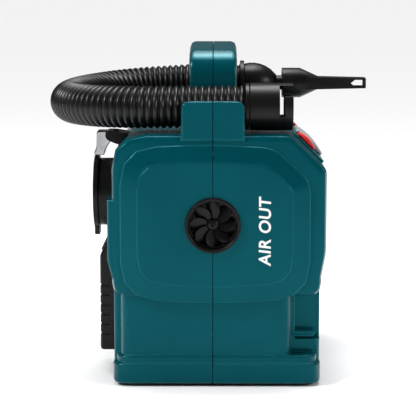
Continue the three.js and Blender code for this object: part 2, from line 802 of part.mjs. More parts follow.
function capClasp() {
  const c = clasp;
  const y = inlet.y;
  const capTop = inlet.z + cap.radius;
  const low = capTop + 2 * gap;
  const blade = outline([
    [c.pivotX - 17.5, low],
    [c.pivotX - 6.5, low],
    [c.pivotX - 4, low + 8, 3],
    [c.pivotX + c.boss, c.pivotZ - 2, 3],
    [c.pivotX + c.boss - 1, c.pivotZ + c.boss - 0.6, 2],
    [c.pivotX - 14.5, c.pivotZ + c.boss - 0.6, 2],
    [c.pivotX - 15.1, low + 8, 3],
    [c.pivotX - 17.5, low + 3],
  ]);
  const plate = solid(drawn(blade, 'y', y - c.half, y + c.half, { edge: 0.8, steps: 1 }));
  const bore = rod('y', c.pivotX, c.pivotZ, c.pin + gap, y - c.half - 1, y + c.half + 1, 12);
  add('cap_clasp', cut(plate, bore), steel);

  const earFront = y - c.half - slide - c.ear;
  const earBack = y + c.half + slide + c.ear;
  const ear = outline([
    [c.pivotX - c.boss, c.pivotZ - c.boss, 4],
    [c.pivotX + 4, c.pivotZ - c.boss - 4, 3],
    [c.pivotX + 23.5, c.pivotZ - 15],
    [c.pivotX + 29.5, c.pivotZ + 1],
    [c.pivotX + 6, c.pivotZ + c.boss, 3],
    [c.pivotX - c.boss, c.pivotZ + c.boss, 4],
  ]);
  const reach = c.half + slide;
  const swing = brick(c.pivotX - 25, c.pivotX + 9.5, y - reach, y + reach, capTop, c.pivotZ + 20);
  const pinHole = rod('y', c.pivotX, c.pivotZ, c.pin + gap, earFront + 1.4, earBack + 1, 12);
  const bracket = cut(solid(drawn(ear, 'y', earFront, earBack)), swing, pinHole, hull(-gap));
  add('clasp_bracket', bracket, black);
  add('clasp_pin', rod('y', c.pivotX, c.pivotZ, c.pin, earFront + 1.7, earBack, 12), steel);
}

// Battery and its bay ------------------------------------------------------------------------------------

const chamferAngle = Math.atan2(battery.high - battery.chamferZ, battery.chamferX);

// A box on the sloping top corner of the battery, x up the slope and z out of it.
function onChamfer(x0, x1, y0, y1, z0, z1) {
  const middleX = battery.face + battery.chamferX / 2;
  const middleZ = (battery.high + battery.chamferZ) / 2;
  return solid(block(x0, x1, y0, y1, z0, z1).rotateY(-chamferAngle).translate(middleX, 0, middleZ));
}

function batteryPack() {
  const b = battery;
  const side = outline([
    [b.face, b.low, 4],
    [b.inner, b.low],
    [b.inner, b.high],
    [b.face + b.chamferX, b.high],
    [b.face, b.chamferZ, 2],
  ]);
  const middle = (b.front + b.back) / 2;
  const proud = housing.beltLeft - 1;
  const cuts = Array.from({ length: grooves.count }, (_, i) => {
    const z = grooves.first + grooves.pitch * i;
    const around = brick(b.face - 1, proud, b.front - 1, b.back + 1, z, z + grooves.wide);
    const kept = brick(
      b.face + grooves.deep,
      proud + 1,
      b.front + grooves.deep,
      b.back - grooves.deep,
      z - 1,
      z + 9,
    );
    return cut(around, kept);
  });
  const well = onChamfer(-8 - slide, 8 + slide, middle - 13 - slide, middle + 13 + slide, -5, 9);
  const slots = contactBlades(gap);
  const body = solid(drawn(side, 'y', b.front, b.back, { edge: 2, steps: 1 }));
  add('battery_case', cut(body, ...cuts, well, ...slots), black);
  add('battery_button', onChamfer(-8, 8, middle - 13, middle + 13, -2, 1.5), rubber);
}

function contactBlades(clearance) {
  const t = bladeTabs;
  const middle = (battery.front + battery.back) / 2;
  const tip = battery.inner - t.long + 2;
  return Array.from({ length: t.count }, (_, i) => {
    const y = middle + (i - (t.count - 1) / 2) * t.pitch;
    const [c, half] = [clearance, t.thick / 2];
    return brick(tip - 3 * c, battery.inner + 8, y - half - c, y + half + c, t.z - c, t.z + t.high + c);
  });
}

function batteryBay() {
  const b = battery;
  const mouth = housing.waistLeft - 1;
  const [y0, y1] = [b.front - slide, b.back + slide];
  const [z0, z1] = [b.low - slide, b.high + slide];
  const floor = b.inner + slide;
  const box = brick(mouth, floor + thin, y0 - thin, y1 + thin, z0 - thin, z1 + thin);
  const room = brick(mouth - 1, floor, y0, y1, z0, z1);
  const slots = contactBlades(gap);
  add('battery_bay', cut(box, room, ...slots), black);
  const plate = floor + thin + gap;
  const middle = (b.front + b.back) / 2;
  const tabsTop = bladeTabs.z + bladeTabs.high + 8;
  const back = brick(plate, plate + 6, middle - 20, middle + 20, bladeTabs.z - 8, tabsTop);
  const reach = brick(-200, plate + 1, b.front, b.back, b.low, b.high);
  const blades = contactBlades(0).map((blade) => blade.intersect(reach));
  add('terminal_block', joined(back, ...blades), copper);
}

function wiring() {
  const from = battery.inner + slide + thin + gap + 6;
  const lead = (name, points) => add(name, bar(curve(points), 2, 26, 8), rubber);
  lead('battery_lead', [
    [from + gap, -42, 104],
    [-46, -42, 102],
    [-20, -40, 92],
    [30, -36, 90],
    [70, -30, 102],
    [width.right - 20.7, -22, 140],
    [width.right - 14.7, -16, roofZ - 78],
    [width.right - 15.2, -14, roofZ - 46],
  ]);
  lead('motor_lead', [
    [width.right - 20.7, 14, roofZ - 42],
    [width.right - 24.7, 16, roofZ - 54],
    [80, 10, 200],
    [68, 0, 194],
    [duct.radius + 2.5, -6, axisZ],
  ]);
}

// Controls on the sloping corner -----------------------------------------------------------------------

function controls() {
  const top = pod.rise + gap;
  const c = greyPanel;
  const crown = outline([
    [c.at - c.half, top],
    [c.at + c.half, top],
    [c.at + c.half, top + 3],
    [c.at, top + 2 * c.high - 3, 15],
    [c.at - c.half, top + 3],
  ]);
  add('control_panel', onSlope(drawn(crown, 'y', c.front, c.back, { edge: 1, steps: 1, curve: 6 })), grey);

  const s = slider;
  const pad = outline([
    [s.at - s.long / 2, top],
    [s.at + s.long / 2, top],
    [s.at + s.long / 2, top + 2.5],
    [s.at, top + s.high + 1.5, 8],
    [s.at - s.long / 2, top + 2.5],
  ]);
  const padSolid = onSlope(drawn(pad, 'y', s.front, s.front + s.wide, { edge: 1, steps: 1 }));
  const middle = s.front + s.wide / 2;
  const stem = onSlope(block(s.at - s.long / 4, s.at + s.long / 4, middle - 3.4, middle + 3.4, 1, top + 1));
  add('power_switch', joined(padSolid, stem), red);

  const b = button;
  const base = new THREE.CylinderGeometry(b.radius, b.radius, 8, 16).rotateX(Math.PI / 2);
  base.translate(b.at, b.y, pod.rise + b.high - 4);
  add('mode_button', onSlope(base), red);
  const plate = rectangle(b.at - 7, b.y - 12, b.at + 10, b.y + 11, 3);
  const hole = new THREE.CylinderGeometry(b.radius + slide, b.radius + slide, 8, 16).rotateX(Math.PI / 2);
  const rim = onSlope(drawn(plate, 'z', top, top + 1.2));
  add('button_bezel', cut(rim, onSlope(hole.translate(b.at, b.y, pod.rise))), black);
  add('circuit_board', onSlope(block(-20, 20, greyPanel.front + 8, greyPanel.back - 4, -12, -10.2)), green);
}

// Hose and what it carries ----------------------------------------------------------------------------

// One loop round the handle, from the near cuff to the far collar: X, share of the way from the near
// run to the far one, and height above the near run.
const loop = [
  [cuff.start - gap, 0, 0],
  [10, 0, 0],
  [-20, 0, -0.2],
  [-51, 0, -0.5],
  [-80.5, 0.017, -0.9],
  [-108, 0.067, -1.3],
  [-131.6, 0.146, -1.7],
  [-149.7, 0.25, -1.9],
  [-161.1, 0.371, -1.9],
  [-165, 0.5, -1.5],
  [-161.1, 0.629, -0.2],
  [-149.7, 0.75, 1.4],
  [-131.6, 0.853, 3.4],
  [-108, 0.933, 5.7],
  [-80.5, 0.983, 7.8],
  [-51, 1, 9.6],
  [-25, 1, 11.1],
  [5, 1, 11.5],
  [farEnd.start + farEnd.collar - gap, 1, 11.5],
];
const hosePoints = loop.map(([x, share, lift]) => [
  x,
  nearRun.y + share * (farRun.y - nearRun.y),
  nearRun.z + lift,
]);

function hoseAndEnds() {
  add('hose', bar(curve(hosePoints), hoseRadius, 44, 12), rubber, hoseSet);

  const c = cuff;
  const [y, z] = [nearRun.y, nearRun.z];
  const bore = c.radius - c.wall;
  const ringEnd = c.start + c.ring;
  add('cuff_collar', ring('x', y, z, bore - 3, c.radius - 0.4, c.start, ringEnd, 32), black, hoseSet);
  const tube = ring('x', y, z, bore, c.radius, ringEnd + slide, c.end, 32);
  const slot = brick(c.slotX, c.slotX + c.slotWide, y - 40, y + 40, z - c.slotLow, z + c.radius - 2.2);
  const entry = brick(c.slotX, c.end + 1, y - 40, y + 40, z + c.radius - c.entryLow, z + c.radius - 2.2);
  add('hose_cuff', cut(tube, slot, entry), black, hoseSet);

  const f = farEnd;
  const collarEnd = f.start + f.collar;
  const collar = ring('x', farRun.y, farRun.z, hoseRadius + gap, f.collarRadius, f.start, collarEnd, 32);
  add('end_collar', collar, black, hoseSet);
  const arc = [];
  const steps = 6;
  const [first, last] = [collarEnd + gap, f.arcEnd];
  for (let i = 0; i <= steps; i += 1) {
    const x = first + ((last - first) * i) / steps;
    arc.push([Math.sqrt(f.arc ** 2 - (x - f.arcX) ** 2) - f.drop, x]);
  }
  const profile = [
    [f.spigot - 2, first],
    ...arc,
    [f.spigot, last + 0.5],
    [f.spigot, f.tip],
    [f.spigot - 2, f.tip],
  ];
  add('end_dome', turned('x', farRun.y, farRun.z, profile, 24), black, hoseSet);
}

// A crevice tool: a round socket that runs into a flat blade with a mouth at its tip.
function creviceTool() {
  const n = nozzle;
  const [y, z] = [farRun.y, farRun.z];
  const shell = (inset) => {
    const r = n.socket - inset;
    const thick = n.half - inset;
    const socket = rod('x', y, z, r, n.start, n.neck, 28);
    const funnel = [
      [0, n.neck - 1],
      [r, n.neck - 1],
      [r, n.neck],
      [thick, n.cone],
      [0, n.cone],
    ];
    const taper = turned('x', y, z, funnel, 28);
    const side = outline([
      [n.neck - inset, z - thick],
      [n.cone, z - thick],
      [n.end, z - thick + 1.3],
      [n.end, z + thick - 1.3],
      [n.cone, z + thick],
      [n.neck - inset, z + thick],
    ]);
    return joined(socket, taper, solid(drawn(side, 'y', y - n.wide + inset, y + n.wide - inset)));
  };
  const outside = shell(0);
  const bore = rod('x', y, z, n.bore, n.start - 1, n.neck - 3, 28);
  const channel = shell(thin).intersect(brick(n.neck - 4, n.end - 4, 0, 300, 0, 400));
  const mouth = brick(n.end - 5, n.end + 1, y - n.wide + thin, y + n.wide - thin, z - 3.6, z + 3.6);
  const notch = outline([
    [167, z],
    [172, z - 4],
    [n.end - 2.2, z - 4],
    [n.end - 2.2, z + 4],
    [172, z + 4],
  ]);
  const window = solid(drawn(notch, 'y', y - 40, y + 40));
  add('crevice_tool', cut(outside, bore, channel, mouth, window), black, hoseSet);
}

housingHalves();
feetAndScrews();
blowerPort();
motorUnit();
fanUnit();
bulkheadPlate();
filterCartridge();
dustBin();
suctionInlet();
capClasp();
batteryPack();
batteryBay();
wiring();
controls();
hoseAndEnds();
creviceTool();

// The origin is the middle of the machine's footprint, on the floor.
const middle = new THREE.Box3().setFromObject(machine).getCenter(new THREE.Vector3());
const assembly = new THREE.Group().add(machine, hoseSet);
assembly.position.set(-middle.x, -middle.y, 0);
part.add(assembly);

export default part;
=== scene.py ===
import bpy
import bmesh
import json
from math import cos, pi, radians, sin
from mathutils import Matrix, Vector


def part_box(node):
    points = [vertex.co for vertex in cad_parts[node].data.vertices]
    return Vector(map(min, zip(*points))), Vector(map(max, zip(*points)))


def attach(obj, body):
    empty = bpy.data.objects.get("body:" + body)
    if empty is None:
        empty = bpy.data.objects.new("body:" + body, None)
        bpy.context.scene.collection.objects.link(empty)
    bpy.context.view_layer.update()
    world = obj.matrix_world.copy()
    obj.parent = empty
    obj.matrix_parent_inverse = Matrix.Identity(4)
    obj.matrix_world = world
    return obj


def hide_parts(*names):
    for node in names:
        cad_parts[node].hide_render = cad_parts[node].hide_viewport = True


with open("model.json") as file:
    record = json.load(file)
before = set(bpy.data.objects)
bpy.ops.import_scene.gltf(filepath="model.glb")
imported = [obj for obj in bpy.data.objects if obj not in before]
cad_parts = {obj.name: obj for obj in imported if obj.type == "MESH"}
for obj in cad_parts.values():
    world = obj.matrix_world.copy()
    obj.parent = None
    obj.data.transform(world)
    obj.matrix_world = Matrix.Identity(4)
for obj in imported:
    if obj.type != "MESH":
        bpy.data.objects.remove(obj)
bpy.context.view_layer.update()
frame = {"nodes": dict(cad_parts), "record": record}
cadNodes = frame["nodes"]
bodyOfNode = {n: body for body, names in frame["record"]["behaviour"]["bodies"].items() for n in names}
slotOfNode = {s["node"]: s["material_slot"] for s in frame["record"]["subparts"]}
mm = 0.001


def middleOf(node):
    low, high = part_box(node)
    return [(a + b) / 2 for a, b in zip(low, high)]


# The seam between the housing halves, and the blower face of the head.
seamX = (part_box("shell_left")[1][0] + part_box("shell_right")[0][0]) / 2
batteryBack = 59 * mm  # how far the battery stands back from that face
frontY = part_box("battery_case")[0][1] - batteryBack


def fromSeam(x, y, z):
    # a place measured from the seam, from the blower face and from the floor, in millimetres
    return Vector((seamX + x * mm, frontY + y * mm, z * mm))


# Camera, lights and floor. The places are in metres, and the camera's aim is in millimetres from the seam.
cameraSet = {"aim": (-5.2, -3, 197.5), "distance": 1.8, "elevation": 8, "yaw": -0.35, "lens": 144.8}


def makeCamera():
    aim = fromSeam(*cameraSet["aim"])
    up, turn = radians(cameraSet["elevation"]), radians(cameraSet["yaw"])
    away = Vector((-sin(turn) * cos(up), -cos(turn) * cos(up), sin(up)))
    bpy.ops.object.camera_add(location=aim + away * cameraSet["distance"])
    camera = bpy.context.object
    camera.rotation_euler = away.to_track_quat("Z", "Y").to_euler()
    camera.data.lens = cameraSet["lens"]
    camera.data.sensor_width = 36
    bpy.context.scene.camera = camera


lightSet = {
    "leftKey": {"place": (-1.5, -0.8, 1.6), "size": 0.4, "power": 38},
    "rightFill": {"place": (1.7, -0.9, 0.9), "size": 0.45, "power": 15},
    "topLight": {"place": (0.0, 0.3, 1.9), "size": 0.6, "power": 14},
}
sunSet = {"power": 2.9, "spread": 50, "tilt": 14}
airSet = {"onThings": 0.12, "behind": 0.92}  # the air lights things softly and looks pale behind them
lightAim = (0, 0, 0.2)
floorSet = {"across": 80, "shade": 0.9, "rough": 0.9, "shine": 0.1}


def makeLights():
    target = Vector(lightAim)
    for name, look in lightSet.items():
        bpy.ops.object.light_add(type="AREA", location=look["place"])
        light = bpy.context.object
        light.name = name
        light.data.size = look["size"]
        light.data.energy = look["power"]
        light.rotation_euler = (Vector(look["place"]) - target).to_track_quat("Z", "Y").to_euler()
    bpy.ops.object.light_add(type="SUN", rotation=(radians(-sunSet["tilt"]), 0, 0))
    sun = bpy.context.object
    sun.name = "ceilingLight"
    sun.data.energy = sunSet["power"]
    sun.data.angle = radians(sunSet["spread"])
    world = bpy.data.worlds.new("studioAir")
    bpy.context.scene.world = world
    world.use_nodes = True
    air = world.node_tree.nodes["Background"]
    air.inputs["Color"].default_value = (1, 1, 1, 1)
    path = world.node_tree.nodes.new("ShaderNodeLightPath")
    seen = world.node_tree.nodes.new("ShaderNodeMapRange")
    seen.inputs["To Min"].default_value = airSet["onThings"]
    seen.inputs["To Max"].default_value = airSet["behind"]
    world.node_tree.links.new(path.outputs["Is Camera Ray"], seen.inputs["Value"])
    world.node_tree.links.new(seen.outputs["Result"], air.inputs["Strength"])
    bpy.context.scene.view_settings.view_transform = "Standard"


def makeFloor():
    look = floorSet
    bpy.ops.mesh.primitive_plane_add(size=look["across"], location=(0, 0, 0))
    floor = bpy.context.object
    floor.name = "studioFloor"
    paper = bpy.data.materials.new("floorPaper")
    paper.use_nodes = True
    shader = paper.node_tree.nodes["Principled BSDF"]
    shader.inputs["Base Color"].default_value = (look["shade"], look["shade"], look["shade"], 1)
    shader.inputs["Roughness"].default_value = look["rough"]
    shader.inputs["Specular IOR Level"].default_value = look["shine"]
    floor.data.materials.append(paper)


makeCamera()
makeLights()
makeFloor()
print("stage set")


def linkNodes(tree, pairs):
    for start, end in pairs:
        tree.links.new(start, end)


# The painted highlight on edges: where the rounded normal turns this far from the surface, the colour is
# lightened.
highlightSet = {"sharp": 0.8, "flat": 0.995}  # how far the rounded normal turns from the surface at an edge


def mouldedPlastic(name, look):
    # a moulded surface: fine grain in bump and roughness, slow drift of colour, and a painted highlight
    # that lightens the colour along its edges
    finish = bpy.data.materials.new(name)
    finish.use_nodes = True
    tree = finish.node_tree
    shader = tree.nodes["Principled BSDF"]
    shader.inputs["Metallic"].default_value = look.get("metal", 0)
    shader.inputs["Specular IOR Level"].default_value = look.get("shine", 0.4)
    shader.inputs["Specular Tint"].default_value = (*look.get("tint", (1, 1, 1)), 1)
    place = tree.nodes.new("ShaderNodeTexCoord")
    drift = tree.nodes.new("ShaderNodeTexNoise")
    drift.inputs["Scale"].default_value = look.get("driftScale", 14)
    drift.inputs["Detail"].default_value = 4
    grain = tree.nodes.new("ShaderNodeTexNoise")
    grain.inputs["Scale"].default_value = look.get("grainScale", 900)
    grain.inputs["Detail"].default_value = 3
    shades = tree.nodes.new("ShaderNodeValToRGB")
    shades.color_ramp.elements[0].position = 0.3
    shades.color_ramp.elements[1].position = 0.7
    shades.color_ramp.elements[0].color = (*look["dark"], 1)
    shades.color_ramp.elements[1].color = (*look["light"], 1)
    rough = tree.nodes.new("ShaderNodeMapRange")
    rough.inputs["To Min"].default_value = look["rough"][0]
    rough.inputs["To Max"].default_value = look["rough"][1]
    rounded = tree.nodes.new("ShaderNodeBevel")
    rounded.samples = 4
    rounded.inputs["Radius"].default_value = look.get("edgeRound", 0.8) * mm
    surface = tree.nodes.new("ShaderNodeNewGeometry")
    turn = tree.nodes.new("ShaderNodeVectorMath")
    turn.operation = "DOT_PRODUCT"
    edge = tree.nodes.new("ShaderNodeMapRange")
    edge.inputs["From Min"].default_value = highlightSet["sharp"]
    edge.inputs["From Max"].default_value = highlightSet["flat"]
    edge.inputs["To Min"].default_value = look.get("edgeWeight", 0.35)
    edge.inputs["To Max"].default_value = 0
    # painted highlight: the colour is mixed toward the paler edge colour where the surface turns at an edge
    edgeHighlight = tree.nodes.new("ShaderNodeMix")
    edgeHighlight.data_type = "RGBA"
    colours = [socket for socket in edgeHighlight.inputs if socket.type == "RGBA"]
    colours[1].default_value = (*look.get("edge", look["light"]), 1)
    blended = [socket for socket in edgeHighlight.outputs if socket.type == "RGBA"][0]
    bump = tree.nodes.new("ShaderNodeBump")
    bump.inputs["Strength"].default_value = look.get("bump", 0.15)
    bump.inputs["Distance"].default_value = look.get("depth", 0.0003)
    linkNodes(tree, [
        (place.outputs["Object"], drift.inputs["Vector"]),
        (place.outputs["Object"], grain.inputs["Vector"]),
        (drift.outputs["Fac"], shades.inputs["Fac"]),
        (rounded.outputs["Normal"], turn.inputs[0]),
        (surface.outputs["Normal"], turn.inputs[1]),
        (turn.outputs["Value"], edge.inputs["Value"]),
        (edge.outputs["Result"], edgeHighlight.inputs["Factor"]),
        (shades.outputs["Color"], colours[0]),
        (blended, shader.inputs["Base Color"]),
        (rounded.outputs["Normal"], bump.inputs["Normal"]),
        (grain.outputs["Fac"], rough.inputs["Value"]),
        (rough.outputs["Result"], shader.inputs["Roughness"]),
        (grain.outputs["Fac"], bump.inputs["Height"]),
        (bump.outputs["Normal"], shader.inputs["Normal"]),
    ])
    return finish


# Each colour runs from dark to light, and rough is the least and the most.
# The edge colour is a painted highlight along edges, and edgeWeight sets how much of it is mixed in.
finishSet = {
    "teal_plastic": {"dark": (0.0002, 0.042, 0.055), "light": (0.0003, 0.05, 0.065), "rough": (0.17, 0.25),
                     "shine": 0.36, "tint": (0.12, 0.85, 1), "edge": (0.03, 0.36, 0.4), "edgeWeight": 0.7,
                     "edgeRound": 1.2},
    "black_plastic": {"dark": (0.003, 0.003, 0.0033), "light": (0.006, 0.006, 0.0063), "rough": (0.26, 0.4),
                      "shine": 0.16},
    "black_rubber": {"dark": (0.008, 0.008, 0.008), "light": (0.013, 0.013, 0.013), "rough": (0.7, 0.85)},
    "hose_plastic": {"dark": (0.002, 0.002, 0.0022), "light": (0.004, 0.004, 0.0043), "rough": (0.28, 0.4),
                     "shine": 0.3},
    "polished_steel": {"dark": (0.34, 0.35, 0.36), "light": (0.52, 0.53, 0.54), "rough": (0.12, 0.22),
                       "metal": 1, "driftScale": 60},
    "zinc_steel": {"dark": (0.5, 0.5, 0.51), "light": (0.62, 0.62, 0.63), "rough": (0.28, 0.42),
                   "metal": 1},
    "copper": {"dark": (0.6, 0.28, 0.12), "light": (0.75, 0.38, 0.18), "rough": (0.3, 0.45), "metal": 1},
    "red_plastic": {"dark": (0.72, 0.02, 0.02), "light": (0.85, 0.035, 0.03), "rough": (0.3, 0.4)},
    "grey_plastic": {"dark": (0.2, 0.205, 0.21), "light": (0.34, 0.345, 0.35), "rough": (0.5, 0.7),
                     "driftScale": 500, "grainScale": 700, "bump": 0.5},
    "smoke_plastic": {"dark": (0.02, 0.024, 0.026), "light": (0.03, 0.034, 0.036), "rough": (0.12, 0.2)},
    "blackened_steel": {"dark": (0.012, 0.012, 0.013), "light": (0.02, 0.02, 0.021), "rough": (0.35, 0.5),
                        "metal": 1},
    "filter_paper": {"dark": (0.62, 0.6, 0.55), "light": (0.72, 0.7, 0.66), "rough": (0.85, 0.95)},
    "board_green": {"dark": (0.01, 0.09, 0.03), "light": (0.015, 0.13, 0.05), "rough": (0.3, 0.5)},
}
finishes = {name: mouldedPlastic(name, look) for name, look in finishSet.items()}


# The painted shade along the housing seam: how wide it is, its dark colour, and how far it keeps off the
# bin's door.
seamShadeSet = {"wide": 1.3 * mm, "shade": (0.0001, 0.008, 0.011), "doorClear": 8 * mm}


def paintSeamShade(finish, wide, shade, doorClear):
    # paints shade into the joint between the two housing halves, where the gap would be in shadow, but not
    # onto the bin's door behind them
    tree = finish.node_tree
    shader = tree.nodes["Principled BSDF"]
    plain = shader.inputs["Base Color"].links[0].from_socket
    place = tree.nodes.new("ShaderNodeTexCoord")
    parts = tree.nodes.new("ShaderNodeSeparateXYZ")
    away, far, near, ahead, both = [tree.nodes.new("ShaderNodeMath") for _ in range(5)]
    away.operation, far.operation, both.operation = "SUBTRACT", "ABSOLUTE", "MULTIPLY"
    near.operation = ahead.operation = "LESS_THAN"
    away.inputs[1].default_value = seamX
    near.inputs[1].default_value = wide / 2
    ahead.inputs[1].default_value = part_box("bin_door")[0][1] - doorClear
    joint = tree.nodes.new("ShaderNodeMix")
    joint.data_type = "RGBA"
    colours = [socket for socket in joint.inputs if socket.type == "RGBA"]
    colours[1].default_value = (*shade, 1)
    linkNodes(tree, [
        (place.outputs["Object"], parts.inputs["Vector"]),
        (parts.outputs["X"], away.inputs[0]),
        (away.outputs["Value"], far.inputs[0]),
        (far.outputs["Value"], near.inputs[0]),
        (parts.outputs["Y"], ahead.inputs[0]),
        (near.outputs["Value"], both.inputs[0]),
        (ahead.outputs["Value"], both.inputs[1]),
        (both.outputs["Value"], joint.inputs["Factor"]),
        (plain, colours[0]),
        ([socket for socket in joint.outputs if socket.type == "RGBA"][0], shader.inputs["Base Color"]),
    ])


paintSeamShade(finishes["teal_plastic"], **seamShadeSet)
print("finishes mixed")


def only(piece):
    bpy.ops.object.select_all(action="DESELECT")
    piece.select_set(True)
    bpy.context.view_layer.objects.active = piece


def settle(piece):
    only(piece)
    bpy.ops.object.transform_apply(location=True, rotation=True, scale=True)


def useModifiers(piece):
    only(piece)
    for modifier in list(piece.modifiers):
        bpy.ops.object.modifier_apply(modifier=modifier.name)


def finishPiece(piece, name, slot, body, angle=35):
    # names, smooths, paints and hangs a finished piece on its body
    piece.name = name
    piece.data.name = name
    only(piece)
    bpy.ops.object.shade_smooth_by_angle(angle=radians(angle))
    piece.data.materials.clear()
    piece.data.materials.append(finishes[slot])
    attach(piece, body)


def softEdges(piece, width, angle=40, segments=2):
    # rounds the edges sharper than the angle
    rounding = piece.modifiers.new("softEdge", "BEVEL")
    rounding.width = width
    rounding.segments = segments
    rounding.limit_method = "ANGLE"
    rounding.angle_limit = radians(angle)
    rounding.harden_normals = False
    rounding.use_clamp_overlap = False
    useModifiers(piece)


panelSet = {"ahead": 1.5 * mm, "level": 0.3 * mm, "turn": 8}


def crispPanel(shell):
    # keeps the shallow steps of the raised face crisp, which the angle alone would smooth away
    look = panelSet
    mesh = bmesh.new()
    mesh.from_mesh(shell.data)
    for edge in mesh.edges:
        a, b = [v.co for v in edge.verts]
        onPanel = max(a.y, b.y) < frontY - look["ahead"] and abs(a.y - b.y) < look["level"]
        if onPanel and len(edge.link_faces) == 2 and edge.calc_face_angle() > radians(look["turn"]):
            edge.smooth = False
    mesh.to_mesh(shell.data)
    mesh.free()


def refined(node, edge):
    # a merged copy of a CAD node with even shading over its rounds
    only(cadNodes[node])
    bpy.ops.object.duplicate()
    piece = bpy.context.object
    piece.parent = None
    for key in [k for k in piece.keys() if k.startswith("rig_")]:
        del piece[key]
    bpy.ops.object.mode_set(mode="EDIT")
    bpy.ops.mesh.select_all(action="SELECT")
    bpy.ops.mesh.remove_doubles(threshold=0.00001)
    bpy.ops.mesh.customdata_custom_splitnormals_clear()
    if edge:
        bpy.ops.mesh.dissolve_limited(angle_limit=radians(0.5))
    bpy.ops.object.mode_set(mode="OBJECT")
    if edge:
        softEdges(piece, edge)
    finishPiece(piece, node + "_skin", slotOfNode[node], bodyOfNode[node])
    if node.startswith("shell"):
        crispPanel(piece)
    even = piece.modifiers.new("evenShade", "WEIGHTED_NORMAL")
    even.keep_sharp = True
    useModifiers(piece)
    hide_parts(node)
    return piece


for name, node in cadNodes.items():
    node.data.materials.clear()
    node.data.materials.append(finishes["blackened_steel" if name == "hub_screw" else slotOfNode[name]])

# The hose, as a corrugated tube along its stored loop.
hoseSet = {
    "diameter": 46.4 * mm,
    "ribPitch": 7.1 * mm,
    "ribDepth": 2.9 * mm,
    "around": 48,
    "perRib": 8,
    "perSpan": 40,
    # X from the seam, share of the way from the near run to the far one, lift above the near run
    "stations": [
        (34.9, 0, 0), (10, 0, 0), (-20, 0, -0.2), (-51, 0, -0.5), (-80.5, 0.017, -0.9), (-108, 0.067, -1.3),
        (-131.6, 0.146, -1.7), (-149.7, 0.25, -1.9), (-161.1, 0.371, -1.9), (-165, 0.5, -1.5),
        (-161.1, 0.629, -0.2), (-149.7, 0.75, 1.4), (-131.6, 0.853, 3.4), (-108, 0.933, 5.7),
        (-80.5, 0.983, 7.8), (-51, 1, 9.6), (-25, 1, 11.1), (5, 1, 11.5), (36.9, 1, 11.5),
    ],
}


def hoseRoute(stations, perSpan):
    # a smooth curve through the stations
    points = []
    ends = [stations[0] * 2 - stations[1], *stations, stations[-1] * 2 - stations[-2]]
    for i in range(1, len(ends) - 2):
        a, b, c, d = ends[i - 1:i + 3]
        for step in range(perSpan):
            t = step / perSpan
            points.append(0.5 * (2 * b + (c - a) * t + (2 * a - 5 * b + 4 * c - d) * t * t
                                 + (3 * b - a - 3 * c + d) * t ** 3))
    points.append(stations[-1])
    return points


def evenSteps(points, step):
    # places along the route at an even distance, each with its direction
    places = [(points[0], (points[1] - points[0]).normalized())]
    left = step
    for a, b in zip(points, points[1:]):
        span = (b - a).length
        while left <= span:
            places.append((a.lerp(b, left / span), (b - a).normalized()))
            left += step
        left -= span
    return places


def makeHose():
    look = hoseSet
    near, far = Vector(middleOf("cuff_collar")), Vector(middleOf("end_collar"))
    stations = [Vector((seamX + x * mm, near.y + share * (far.y - near.y), near.z + lift * mm))
                for x, share, lift in look["stations"]]
    route = hoseRoute(stations, look["perSpan"])
    total = sum((b - a).length for a, b in zip(route, route[1:]))
    ribs = round(total / look["ribPitch"])
    step = total / (ribs * look["perRib"])
    places = evenSteps(route, step)
    mesh = bmesh.new()
    rings = []
    for i, (spot, way) in enumerate(places):
        side = Vector((0, 0, 1)).cross(way).normalized()
        up = way.cross(side)
        phase = (i % look["perRib"]) / look["perRib"]
        swell = 0.5 - 0.5 * cos(2 * pi * phase)
        radius = look["diameter"] / 2 - look["ribDepth"] * (1 - swell ** 0.6)
        ring = [mesh.verts.new(spot + (side * cos(2 * pi * k / look["around"])
                                       + up * sin(2 * pi * k / look["around"])) * radius)
                for k in range(look["around"])]
        rings.append(ring)
    for a, b in zip(rings, rings[1:]):
        for k in range(look["around"]):
            n = (k + 1) % look["around"]
            mesh.faces.new((a[k], a[n], b[n], b[k]))
    mesh.faces.new(list(reversed(rings[0])))
    mesh.faces.new(rings[-1])
    bmesh.ops.recalc_face_normals(mesh, faces=mesh.faces)
    data = bpy.data.meshes.new("ribbedHose")
    mesh.to_mesh(data)
    mesh.free()
    hose = bpy.data.objects.new("ribbedHose", data)
    bpy.context.scene.collection.objects.link(hose)
    finishPiece(hose, "ribbedHose", "hose_plastic", "hose", 60)
    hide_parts("hose")
    return hose, [spot for spot, way in places], stations[0], total


ribbedHose, hosePath, hoseStart, hoseLong = makeHose()
print("hose laid", round(hoseLong, 4))


def turnProfile(profile, centre, steps=96):
    # spins a closed profile of (radius, place along Y) about a line along Y through the centre
    bpy.ops.object.select_all(action="DESELECT")
    bpy.ops.mesh.primitive_plane_add(size=0.01, location=centre)
    piece = bpy.context.object
    along = Vector((0, 1, 0))
    out = Vector((0, 0, 1))
    bpy.ops.object.mode_set(mode="EDIT")
    bpy.ops.mesh.merge(type="CENTER")
    places = [out * radius + along * far for radius, far in profile]
    bpy.ops.transform.translate(value=places[0])
    for a, b in zip(places, places[1:]):
        bpy.ops.mesh.extrude_vertices_move(TRANSFORM_OT_translate={"value": b - a})
    bpy.ops.mesh.extrude_vertices_move(TRANSFORM_OT_translate={"value": places[0] - places[-1]})
    bpy.ops.mesh.select_all(action="SELECT")
    bpy.ops.mesh.spin(steps=steps, angle=2 * pi, center=centre, axis=along)
    bpy.ops.mesh.select_all(action="SELECT")
    bpy.ops.mesh.remove_doubles(threshold=0.000005)
    bpy.ops.mesh.normals_make_consistent(inside=False)
    bpy.ops.object.mode_set(mode="OBJECT")
    settle(piece)
    return piece


def joinPieces(pieces):
    bpy.ops.object.select_all(action="DESELECT")
    for piece in pieces:
        piece.select_set(True)
    bpy.context.view_layer.objects.active = pieces[0]
    bpy.ops.object.join()
    return bpy.context.object


